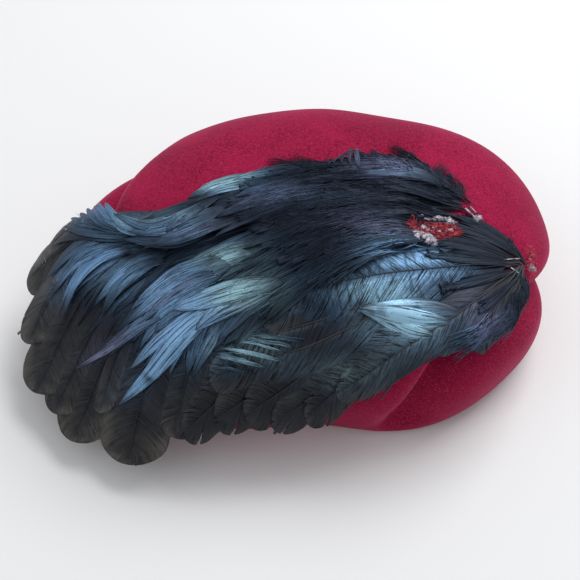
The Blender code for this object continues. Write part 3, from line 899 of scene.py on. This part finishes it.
# The widest feather, barred across, and the long one over the others with the blade of strong painted sheen
# that lies on it.
BARRED_FEATHER = (78, -40, 42, -58, -14, -72, 110, 115)
BARRED_STYLE = {
    **COQUE_STYLE, "spacing": 0.0006, "clump": 0.06, "ragged": 0.04, "tilt": 1.0, "lock": (40, 90),
    "loft": 0.0001, "stray": 0.02,
}
OVER_FEATHER = (78, -42, 40, -100, 8, -108, 66, 45)
COQUE_BLADE = (
    # x0, y0, x1, y1, x2, y2, x3, y3, width, painted_gloss
    (54, -76.5, 42, -77.5, 30, -78.5, 16, -79, 11, 1.6),
    (44, -88.5, 35, -87.5, 27, -84, 17, -80, 8.5, 1.2),
    (50, -81.5, 39, -83.5, 28, -82, 16, -79.5, 11.5, 1.5),
)
BLADE_ROLL = 0.1
BLADE_RISE = 0.0004
rng = np.random.default_rng(31)
coque = Plumage("coque_feathers")
for row in COQUE_FEATHERS:
    lay_vane(coque, row, COQUE_STYLE, rng)
coque.finish(coque_barbs, "coque_spray")
barred = Plumage("barred_feather")
lay_vane(barred, BARRED_FEATHER, BARRED_STYLE, rng)
barred.finish(barred_barbs, "coque_spray")
over = Plumage("coque_over_feathers")
lay_vane(over, OVER_FEATHER, COQUE_STYLE, rng)
for places, width, painted_gloss in lock_rows(COQUE_BLADE):
    lay_lock(over, places, width, rng, painted_sheen_gain=painted_gloss, roll=BLADE_ROLL, rise=BLADE_RISE)
over.finish(coque_barbs, "coque_spray")
roots = Plumage("root_feathers")
for row in ROOT_FEATHERS:
    lay_vane(roots, row, ROOT_STYLE, rng)
roots.finish(hackle_barbs, "coque_spray")

# Hackle spray
# Narrow hackles, glued by their quills at the upper right, fan out over the crown and down towards the left.
# Their barbs part into long pointed locks that lie over each other like roof tiles, tips first.
HACKLE_FAN = (
    # root_x, root_y, bend_x, bend_y, tip_x, tip_y
    (42, -36, 6, -44, -26, -96),
    (44, -32, -2, -38, -46, -103),
    (46, -27, -12, -30, -64, -102),
    (48, -22, -24, -22, -80, -94),
    (50, -17, -34, -12, -97, -74),
    (52, -11, -26, -6, -102, -46),
    (55, -4, 6, 6, -66, -22),
    (57, 3, 36, 16, -16, 4),
)
HACKLE_TIERS = (
    # from, to, locks, width
    (0.60, 1.00, 20, 0.0085),
    (0.50, 0.97, 22, 0.0085),
    (0.40, 0.92, 22, 0.0085),
    (0.32, 0.84, 20, 0.0080),
    (0.24, 0.76, 18, 0.0080),
    (0.14, 0.66, 16, 0.0080),
)
# Whole soft hackles, whose barbs draw together towards their tips. They cover the crown.
HACKLE_STYLE = {
    **ROOT_STYLE, "spacing": 0.0010, "sweep": 0.042, "lock": (4, 13), "clump": 0.85, "ragged": 0.14,
    "loft": 0.0012, "rise": 0.0003,
    "outline": ((0.0, 0.35), (0.20, 0.80), (0.50, 1.0), (0.74, 0.80), (0.88, 0.50)),
}
SOFT_HACKLES = (
    # root_x, root_y, bend_x, bend_y, tip_x, tip_y, width, painted_gloss
    (40, -38, 14, -50, -8, -68, 60, 30),
    (44, -33, 12, -42, -16, -58, 60, 30),
    (46, -30, 10, -38, -22, -50, 55, 35),
    (48, -27, 10, -30, -26, -40, 60, 40),
    (50, -22, 8, -22, -32, -32, 60, 50),
    (53, -18, 8, -14, -36, -22, 60, 50),
    (55, -14, 10, -6, -32, -12, 60, 50),
    (56, -10, 18, 3, -22, -4, 60, 50),
    (46, -30, 22, -40, 2, -54, 50, 25),
    (50, -26, 24, -30, -6, -38, 50, 30),
    (57, -6, 30, 10, 2, 3, 50, 60),
    (54, -19, 28, -16, 0, -20, 50, 40),
    (57, -10, 36, 2, 12, 0, 55, 80),
    (60, -8, 48, 6, 32, 12, 35, 50),
    (60, -14, 42, -8, 22, -10, 40, 50),
)
# Locks that stand out in the spray, each through four places in plan from its root to its tip, with its
# width in millimetres and the strength of its painted sheen.
HACKLE_LOCKS = (
    # x0, y0, x1, y1, x2, y2, x3, y3, width, painted_gloss
    (-17, -40, -28, -44, -42, -53, -54, -59, 9, 1.0),
    (-24, -52, -34, -56, -45, -59, -56, -65, 8.5, 1.2),
    (-22, -46, -34, -50, -44, -56, -52, -64, 6, 0.9),
    (-35, -55, -48, -60, -57, -64, -70, -75, 8.5, 1.0),
    (-32, -58, -42, -63, -54, -68, -71, -81, 11.5, 1.2),
    (-36, -64, -46, -69, -58, -77, -70, -89, 11, 1.1),
    (-40, -70, -50, -76, -58, -82, -66, -92, 8, 1.0),
    (-28, -74, -40, -78, -52, -82, -60, -88, 9, 0.9),
    (-36, -78, -48, -84, -60, -92, -70, -98, 7.5, 1.2),
    (-33, -78, -38, -90, -42, -98, -46, -106, 7.5, 0.9),
    (-36, -78, -43, -90, -46, -98, -48, -105, 6, 1.0),
    (-39, -82, -47, -91, -51, -97, -55, -104, 4, 0.9),
    (-36, -80, -48, -90, -61, -101, -75, -109, 10.5, 1.4),
    (-15, -70, -25, -79, -31, -86, -36, -94, 9, 0.8),
    (-14, -69, -26, -75, -36, -82, -44, -90, 11, 1.0),
    (-13, -68, -28, -72, -42, -77, -53, -80, 11, 1.0),
    (-56, -48, -66, -52, -75, -58, -85, -68, 8.5, 1.1),
    (-58, -52, -68, -57, -76, -64, -82, -74, 7.5, 1.2),
    (-62, -46, -78, -44, -90, -48, -101, -62, 7, 1.1),
    (-68, -45, -82, -46, -92, -53, -99, -66, 6, 1.2),
    (-70, -40, -84, -40, -94, -42, -104, -50, 8.5, 1.1),
    (-58, -36, -76, -36, -92, -34, -108, -40, 11, 0.8),
    (-56, -32, -76, -34, -92, -26, -106, -20, 12, 0.7),
    (-58, -37, -74, -36, -90, -28, -102, -14, 7, 0.7),
    (-56, -36, -72, -35, -88, -26, -99, -11, 6.5, 0.9),
    (-55, -35, -71, -35, -86, -26, -96, -9, 6, 1.0),
    (-54, -34, -70, -34, -84, -26, -93, -8, 6, 0.8),
    (-53, -34, -69, -34, -82, -26, -90, -8, 5.5, 1.1),
    (-52, -33, -68, -34, -80, -27, -87, -10, 5.5, 1.2),
    (-48, -28, -60, -37, -74, -34, -84, -12, 7, 1.4),
    (-38, -12, -50, -28, -63, -37, -78, -26, 8, 1.4),
    (-34, -20, -48, -33, -60, -40, -72, -38, 7.5, 1.1),
    (-44, -24, -50, -31, -54, -36, -57, -42, 6, 1.2),
    (-38, -32, -50, -44, -62, -45, -74, -40, 7.5, 0.8),
    (-22, -18, -38, -32, -50, -43, -62, -46, 8, 0.9),
    (-26, -28, -40, -38, -52, -46, -66, -48, 6, 0.8),
    (-20, 1, -31, 0, -42, -5, -52, -15, 9, 2.0),
    (-16, -4, -28, -5, -39, -10, -48, -20, 7, 1.4),
    (-58, -78, -68, -83, -75, -85, -82, -86, 4, 1.2),
    (-56, -82, -70, -86, -80, -88, -94, -89, 4.5, 1.3),
    (-4, -92, -11, -92, -18, -92, -26, -92, 1, 2.0),
    (-8, -95, -13, -94, -19, -94, -26, -93, 1.4, 2.0),
    (-12, -97, -18, -96, -24, -95, -29, -95, 1, 1.6),
    (-12, -100, -20, -99, -28, -98, -35, -97, 2, 2.2),
    (-18, -103, -24, -102, -31, -101, -37, -100, 1.8, 2.2),
    (-22, -105, -28, -105, -33, -104, -38, -104, 1.2, 1.6),
)
# Thin locks on the crown, with a painted sheen.
CROWN_LOCKS = (
    # x0, y0, x1, y1, x2, y2, x3, y3, width, painted_gloss
    (46, -34, 36, -38, 22, -39, 6, -37, 8, 0.5),
    (42, -39, 30, -43, 16, -45, 2, -47, 7, 0.2),
    (38, -24, 24, -28, 10, -30, -6, -32, 5, 1.0),
    (36, -17, 20, -20, 6, -24, -10, -28, 5, 1.0),
    (44, 2, 30, 5, 16, 2, 2, -3, 8, 1.2),
    (48, -2, 36, 1, 22, -3, 8, -7, 8, 1.1),
    (12, -5, -4, -6, -20, -11, -34, -20, 7.5, 1.2),
    (4, -12, -12, -15, -26, -22, -40, -33, 8.5, 1.3),
    (-2, -22, -16, -26, -28, -33, -40, -43, 6, 1.0),
    (4, 0, -10, 1, -22, -1, -34, -6, 7, 1.2),
    (10, -36, -4, -38, -16, -43, -28, -51, 6, 0.9),
    (16, -52, 4, -58, -6, -64, -16, -74, 6, 0.7),
)
# Tufts of down and loose barbs, with how far the barbs of each stray, in millimetres, and how many it has.
DOWN_TUFTS = (
    # x0, y0, x1, y1, x2, y2, x3, y3, spread, barbs
    (50, 0, 43, 10, 37, 19, 28, 30, 4, 90),
    (52, -2, 50, 6, 48, 11, 52, 16, 9, 80),
    (56, -8, 55, -2, 55, 3, 52, 8, 6, 40),
    (36, 0, 31, 8, 24, 13, 15, 16, 8, 110),
    (28, 0, 24, 6, 18, 11, 10, 14, 7, 80),
    (10, 0, 2, 6, -6, 11, -14, 13, 11, 70),
    (0, 0, -8, 7, -16, 12, -22, 13, 9, 50),
    (79, -44, 80, -50, 79, -58, 76, -64, 5, 70),
    (75, -56, 75, -66, 71, -74, 65, -82, 7, 90),
    (66, -74, 62, -82, 56, -88, 50, -93, 7, 70),
    (74, -36, 75, -32, 75, -28, 76, -25, 2.5, 16),
    (60, -14, 30, -18, 0, -26, -30, -40, 26, 120),
    (54, -26, 24, -36, 0, -50, -30, -74, 26, 160),
    (40, -6, 16, -8, -8, -14, -34, -28, 26, 120),
)
# Broad barbs that curl up over the top edge.
CURLED_BARBS = (
    # x0, y0, x1, y1, x2, y2, x3, y3, width, painted_gloss
    (3, 0, 3, 3, 6, 6, 10, 8, 0.8, 1.5),
    (6, 0, 5, 4, 8, 8, 13, 10, 1, 1.5),
    (9, -1, 8, 5, 10, 10, 15, 12, 1.4, 1.5),
    (12, -1, 11, 6, 12, 14, 16, 16, 1.6, 1.5),
    (15, -2, 14, 6, 14, 15, 18, 18, 2.6, 1.5),
)
HACKLE_SHAKE = 0.012
FAN_END = 0.97
# Strength of the painted sheen on the fanned hackle locks.
HACKLE_PAINTED_SHEEN = 0.45
FIRM_ROLL = 0.12
BRIGHT_RISE = 0.0007
CROWN_RISE = 0.0003
# Strength of the painted sheen on the down tufts.
TUFT_PAINTED_SHEEN = 1.5
CURL_ROLL = 0.1
rng = np.random.default_rng(21)
hackle = Plumage("hackle_feathers")


def fan_places(u, start, stop, drift):
    """Four places along the fan, from one share of its length to another, drifting sideways on the way."""
    share = np.linspace(0.0, 1.0, 4)
    rows = through(np.array(HACKLE_FAN) / 100.0, np.clip(u + drift * share**1.4, 0.0, 1.0))
    places = bent(rows, start + (stop - start) * share) / PLAN_SIZE
    return places + rng.normal(0.0, HACKLE_SHAKE, (4, 2)) * share[:, None]


for start, stop, count, width in HACKLE_TIERS:
    for u in rng.permutation((np.arange(count) + 0.5) / count):
        u = u + rng.normal(0.0, 0.25 / count)
        shift = rng.normal(0.0, 0.04)
        places = fan_places(u, start + shift, min(stop + shift, FAN_END), rng.normal(0.0, 0.05))
        wide = width * rng.uniform(0.60, 1.45)
        lay_lock(hackle, places, wide, rng, painted_sheen_gain=HACKLE_PAINTED_SHEEN)
        lay_strays(hackle, places, wide, 3, rng, painted_sheen_gain=HACKLE_PAINTED_SHEEN)
hackle.finish(hackle_barbs, "hackle_spray")
bright = Plumage("hackle_bright_locks")
for places, width, painted_gloss in lock_rows(HACKLE_LOCKS):
    lay_lock(bright, places, width, rng, painted_sheen_gain=painted_gloss, roll=FIRM_ROLL, rise=BRIGHT_RISE)
    lay_strays(bright, places, width, 4, rng, painted_sheen_gain=painted_gloss)
bright.finish(hackle_barbs, "hackle_spray")
soft = Plumage("soft_hackles")
for row in SOFT_HACKLES:
    lay_vane(soft, row, HACKLE_STYLE, rng)
for places, width, painted_gloss in lock_rows(CROWN_LOCKS):
    lay_lock(soft, places, width, rng, painted_sheen_gain=painted_gloss, roll=FIRM_ROLL, rise=CROWN_RISE)
    lay_strays(soft, places, width, 5, rng, painted_sheen_gain=2.0 * painted_gloss)
for places, spread, count in lock_rows(DOWN_TUFTS):
    lay_strays(soft, places, spread, count, rng, painted_sheen_gain=TUFT_PAINTED_SHEEN)
for places, width, painted_gloss in lock_rows(CURLED_BARBS):
    lay_lock(soft, places, width, rng, painted_sheen_gain=painted_gloss, roll=CURL_ROLL, rise=BRIGHT_RISE)
soft.finish(hackle_barbs, "hackle_spray")

# Quill ends
# The quills of both bundles are cut off at the right and glued down. Each end is a tube of horn up to 1 mm
# thick, mottled dark and pale. Places from here on are shares of the cap's half size.
QUILL_ENDS = (
    # x0, y0, x1, y1, radius
    (0.57, -0.13, 0.62, -0.19, 0.0005),
    (0.59, -0.16, 0.63, -0.21, 0.0005),
    (0.58, -0.10, 0.62, -0.14, 0.0003),
    (0.71, -0.42, 0.79, -0.37, 0.0003),
    (0.74, -0.45, 0.79, -0.47, 0.0003),
)
END_STEPS = 7
QUILL_DARK = (0.03, 0.03, 0.04, 1.0)
QUILL_PALE = (0.52, 0.50, 0.58, 1.0)


def over_crown(points):
    """Points measured from the crown, as one list in the part's frame."""
    return points.reshape(-1, 3) + [*crown, 0.0]


def mottled(name, roughness, speckle, low, high, dark, pale):
    """A finish that goes from dark to pale over a noise with the scale, detail and roughness given."""
    material, tree, shader = new_material(name, Roughness=roughness)
    where = add_node(tree, "ShaderNodeTexCoord").outputs["Object"]
    mask = ramp(tree, noise(tree, where, *speckle), low, high)
    tree.links.new(mix(tree, mask, dark, pale), shader.inputs["Base Color"])
    return material


rng = np.random.default_rng(41)
ends = []
for x0, y0, x1, y1, radius in QUILL_ENDS:
    s = np.linspace(0.0, 1.0, END_STEPS)[:, None]
    plan = ((1.0 - s) * np.array([x0, y0]) + s * np.array([x1, y1])) * PLAN_SIZE
    lift = pile_top[pile_cells(plan)].max() + 0.0004 - 0.0012 * s[:, 0] ** 2
    ends.append(quill_rings(*on_drape(plan, lift), radius))
end_faces = tube_faces(len(ends), END_STEPS, QUILL_SIDES)
quill_ends = surface("quill_ends", over_crown(np.array(ends)), *end_faces)
cut_quill = mottled("cut_quill", 0.45, (260.0, 2.0, 0.6), 0.40, 0.60, QUILL_DARK, QUILL_PALE)
quill_ends.data.materials.append(cut_quill)
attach(quill_ends, "root")

# Dried glue
# A clear glue, spread by hand under the quills, that has dried in cloudy flakes a few millimetres wide. Each
# flake is a low cone over a flat one, with a rim of its own.
GLUE_SPOTS = (
    # x, y, reach_x, reach_y, flakes
    (0.46, -0.235, 0.070, 0.018, 130),
    (0.62, -0.19, 0.012, 0.018, 12),
    (0.41, -0.385, 0.060, 0.020, 90),
    (0.42, -0.320, 0.080, 0.045, 60),
    (0.83, -0.37, 0.016, 0.060, 6),
)
FLAKE_SIDES = 7
FLAKE_DEPTH = 0.0002
GLUE_CLEAR = (0.16, 0.11, 0.16, 1.0)
GLUE_CLOUDY = (0.66, 0.62, 0.70, 1.0)


def scattered(spots, rng):
    """Places in plan at random within ellipses, denser towards their middles."""
    rows = np.repeat(np.array(spots)[:, :4], [row[4] for row in spots], axis=0)
    turn, far = rng.uniform(0.0, math.tau, len(rows)), rng.random(len(rows)) ** 0.6
    round_spot = np.stack([np.cos(turn), np.sin(turn)], axis=1) * far[:, None]
    return (rows[:, :2] + rows[:, 2:] * round_spot) * PLAN_SIZE


plan = scattered(GLUE_SPOTS, rng)
middle, normals = on_drape(plan, pile_top[pile_cells(plan)] + 0.0001)
count = len(plan)
turn = np.linspace(0.0, math.tau, FLAKE_SIDES, endpoint=False)[None] + rng.uniform(0.0, 0.5, (count, 1))
size = rng.uniform(0.0005, 0.0026, (count, 1)) * rng.uniform(0.3, 1.3, (count, FLAKE_SIDES))
across = unit(np.cross(normals, np.broadcast_to([0.0, 1.0, 0.0], normals.shape)))
upwards = np.cross(normals, across)
outwards = np.cos(turn)[..., None] * across[:, None] + np.sin(turn)[..., None] * upwards[:, None]
rim = middle[:, None] + size[..., None] * outwards
top = middle + normals * rng.uniform(0.00005, 0.0002, (count, 1))
bottom = middle - normals * FLAKE_DEPTH
points = np.concatenate([top[:, None], rim, bottom[:, None]], axis=1)
step = np.arange(FLAKE_SIDES)
after = (step + 1) % FLAKE_SIDES
upper = np.stack([np.zeros(FLAKE_SIDES, int), 1 + step, 1 + after], axis=1)
lower = np.stack([np.full(FLAKE_SIDES, FLAKE_SIDES + 1), 1 + after, 1 + step], axis=1)
starts = (FLAKE_SIDES + 2) * np.arange(count)[:, None, None]
flakes = (np.concatenate([upper, lower])[None] + starts).reshape(-1, 3)
glue = surface("dried_glue", over_crown(points), flakes)
glue_finish = mottled("dried_glue", 0.35, (420.0, 3.0, 0.7), 0.38, 0.62, GLUE_CLEAR, GLUE_CLOUDY)
glue.data.materials.append(glue_finish)
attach(glue, "root")

# Rough wool
# Where a bundle was moved, the felt's pile came away with the glue and left rough scarlet wool. Its short
# fibres lie mostly along the quills, bowed, and stand up a little in the middle.
WOOL_SPOTS = (
    # x, y, reach_x, reach_y, fibres
    (0.42, -0.320, 0.085, 0.060, 900),
    (0.49, -0.300, 0.060, 0.045, 500),
    (0.83, -0.35, 0.024, 0.100, 70),
)
FIBRE_STEPS = 5
FIBRE_RADIUS = 0.00013
WOOL_DARK = (0.24, 0.006, 0.020, 1.0)
WOOL_BRIGHT = (0.66, 0.10, 0.13, 1.0)

plan = scattered(WOOL_SPOTS, rng)
count = len(plan)
heading = rng.normal(0.2, 0.5, count) + math.pi * rng.integers(0, 2, count)
fibre_length = rng.uniform(0.0012, 0.0036, count)[:, None, None]
t = np.linspace(-0.5, 0.5, FIBRE_STEPS)[None]
bow = rng.normal(0.0, 0.25, (count, 1)) * (0.25 - t**2)
direction = np.stack([np.cos(heading), np.sin(heading)], axis=1)[:, None]
sidestep = direction @ LEFT_OF
plan = plan[:, None] + (direction * t[..., None] + sidestep * bow[..., None]) * fibre_length
lift = pile_top[pile_cells(plan)] + 0.0002 + 0.0012 * rng.random((count, 1)) * (1.0 - 2.0 * np.abs(t))
centre, normals = on_drape(plan, lift)
_, side = sides_of(centre, normals, 1)
fibres = over_crown(strips(centre, side, normals, FIBRE_RADIUS))
wool = surface("rough_wool", fibres, *tube_faces(count, FIBRE_STEPS, 3))
wool_finish = mottled("scarlet_wool", 0.9, (700.0, 2.0, 0.6), 0.35, 0.65, WOOL_DARK, WOOL_BRIGHT)
wool.data.materials.append(wool_finish)
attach(wool, "root")

# Floor and light
# A plain pale floor under a bright even sky, with one broad soft lamp behind the cap and a weak one in
# front of it.
FLOOR_HALF = 1.5
FLOOR_GREY = (0.86, 0.86, 0.86, 1.0)
SKY_COLOUR = (0.94, 0.97, 1.0, 1.0)
floor = surface(
    "floor",
    np.array([[-1, -1, 0], [1, -1, 0], [1, 1, 0], [-1, 1, 0]]) * FLOOR_HALF,
    np.array([[0, 1, 2, 3]]),
)
floor_finish, tree, shader = new_material("pale_floor", Roughness=0.9)
shader.inputs["Base Color"].default_value = FLOOR_GREY
floor.data.materials.append(floor_finish)

world = bpy.data.worlds.new("soft_sky")
world.use_nodes = True
sky = world.node_tree.nodes["Background"].inputs
sky["Color"].default_value = SKY_COLOUR
sky["Strength"].default_value = 0.55
scene.world = world


def soft_lamp(name, place, size, power):
    data = bpy.data.lights.new(name, "AREA")
    data.energy = power
    data.size = size
    lamp = bpy.data.objects.new(name, data)
    lamp.location = place
    lamp.rotation_euler = (Vector(place) - Vector((0.0, 0.0, 0.03))).to_track_quat("Z", "Y").to_euler()
    scene.collection.objects.link(lamp)


soft_lamp("window", (0.55, 0.55, 1.15), 0.9, 13.0)
soft_lamp("fill", (-0.9, -0.5, 0.9), 0.8, 1.5)
scene.view_settings.view_transform = "Standard"
